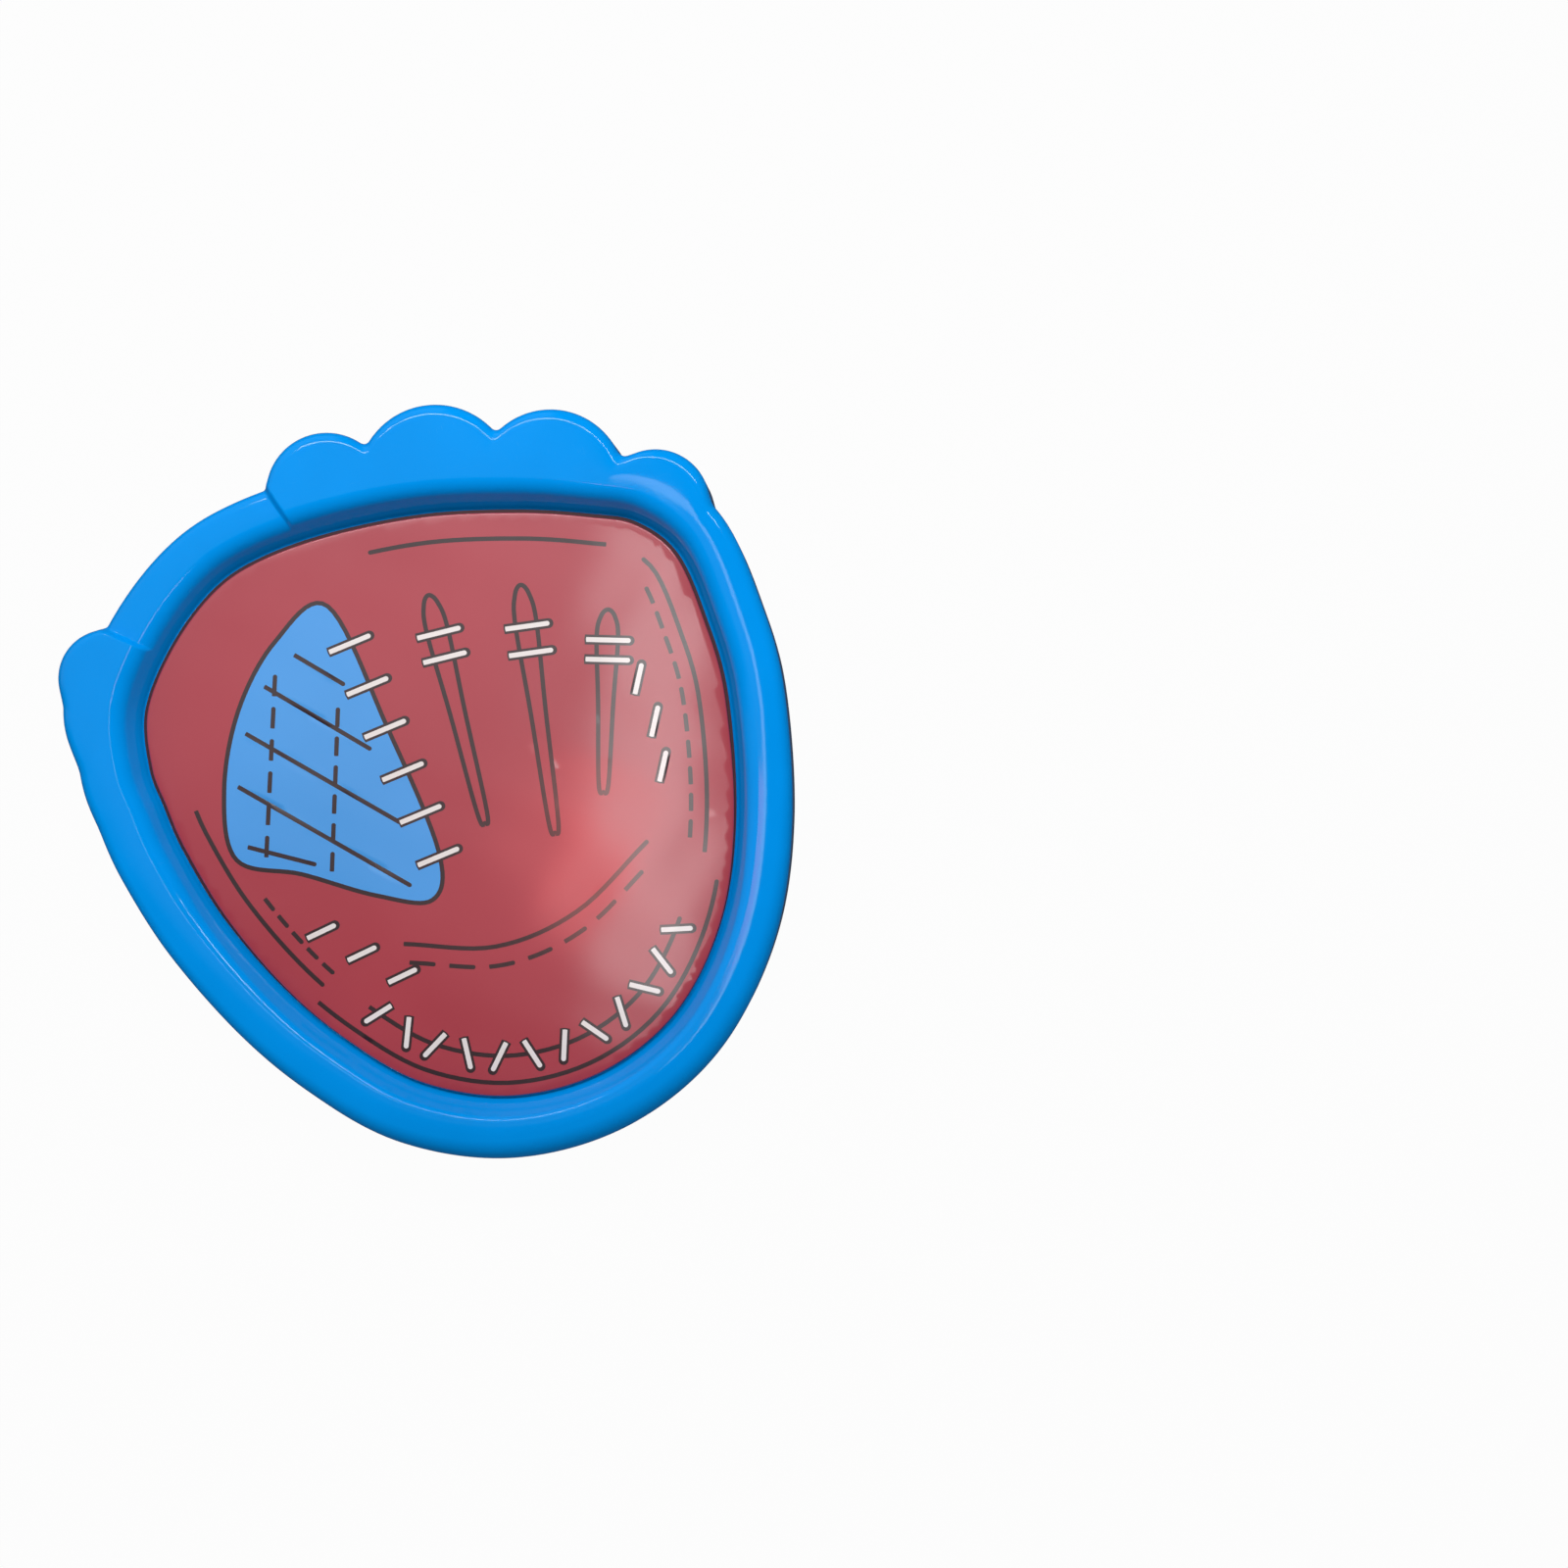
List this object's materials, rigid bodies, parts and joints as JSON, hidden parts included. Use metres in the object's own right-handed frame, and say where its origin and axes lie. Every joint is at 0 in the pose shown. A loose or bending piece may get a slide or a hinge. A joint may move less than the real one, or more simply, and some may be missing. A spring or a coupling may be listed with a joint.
{
  "type": "sticky target catching paddle",
  "caption": "Hand paddle shaped like a ball mitt: a shallow moulded dish with raised finger tips, a printed target face on its floor and a webbing hand strap behind.",
  "frame": {"origin": "centre of the part's box in plan, at the level of the skirt's foot, on which the paddle rests", "axes": "+Z towards the catching side, +Y towards the finger tips, -X towards the thumb"},
  "size_m": [0.1885, 0.2035, 0.0244],
  "materials": {
    "blue_plastic": "glossy moulded plastic",
    "printed_sheet": "glossy printed film",
    "webbing": "woven polyester webbing",
    "fastener_tape": "hook and loop tape"
  },
  "bodies": {
    "root": {"shell": "blue_plastic", "face_sheet": "printed_sheet", "hand_strap": "webbing", "loop_patch": "fastener_tape", "hook_patch": "fastener_tape"}
  },
  "joints": []
}
